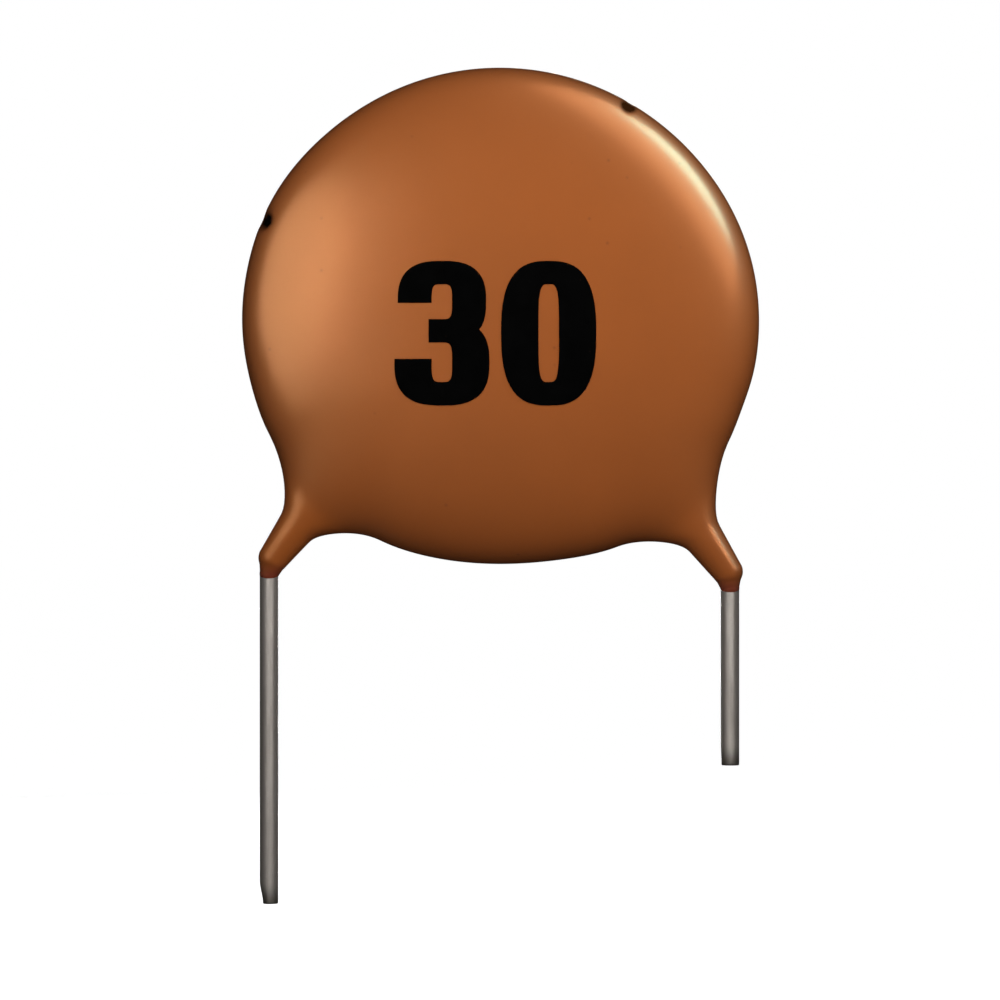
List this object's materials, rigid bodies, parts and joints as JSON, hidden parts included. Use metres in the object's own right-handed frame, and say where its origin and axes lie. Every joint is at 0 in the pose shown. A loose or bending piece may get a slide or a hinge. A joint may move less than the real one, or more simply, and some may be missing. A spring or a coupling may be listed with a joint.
{
  "type": "ceramic disc capacitor",
  "caption": "Round flat ceramic disc capacitor dipped in glossy brown lacquer, with wire leads that run down from its lower edge to be soldered into a circuit board.",
  "frame": {"origin": "midway between the leads, on the board plane, where the lower leg of the coat ends", "axes": "+X along the lead pitch, from the longer lead to the shorter; -Y out of the printed face; +Z away from the board"},
  "size_m": [0.0112, 0.0029, 0.0181],
  "materials": {
    "lacquer": "glossy dipped lacquer",
    "ceramic": "fired, unglazed",
    "silver": "matt fired silver",
    "solder": "satin tin solder",
    "tinned_wire": "satin tinned copper",
    "ink": "matt stamped ink"
  },
  "bodies": {
    "root": {"coating": "lacquer", "ceramic_disc": "ceramic", "front_electrode": "silver", "rear_electrode": "silver", "front_solder": "solder", "rear_solder": "solder", "left_lead": "tinned_wire", "right_lead": "tinned_wire", "value_print": "ink"}
  },
  "joints": []
}
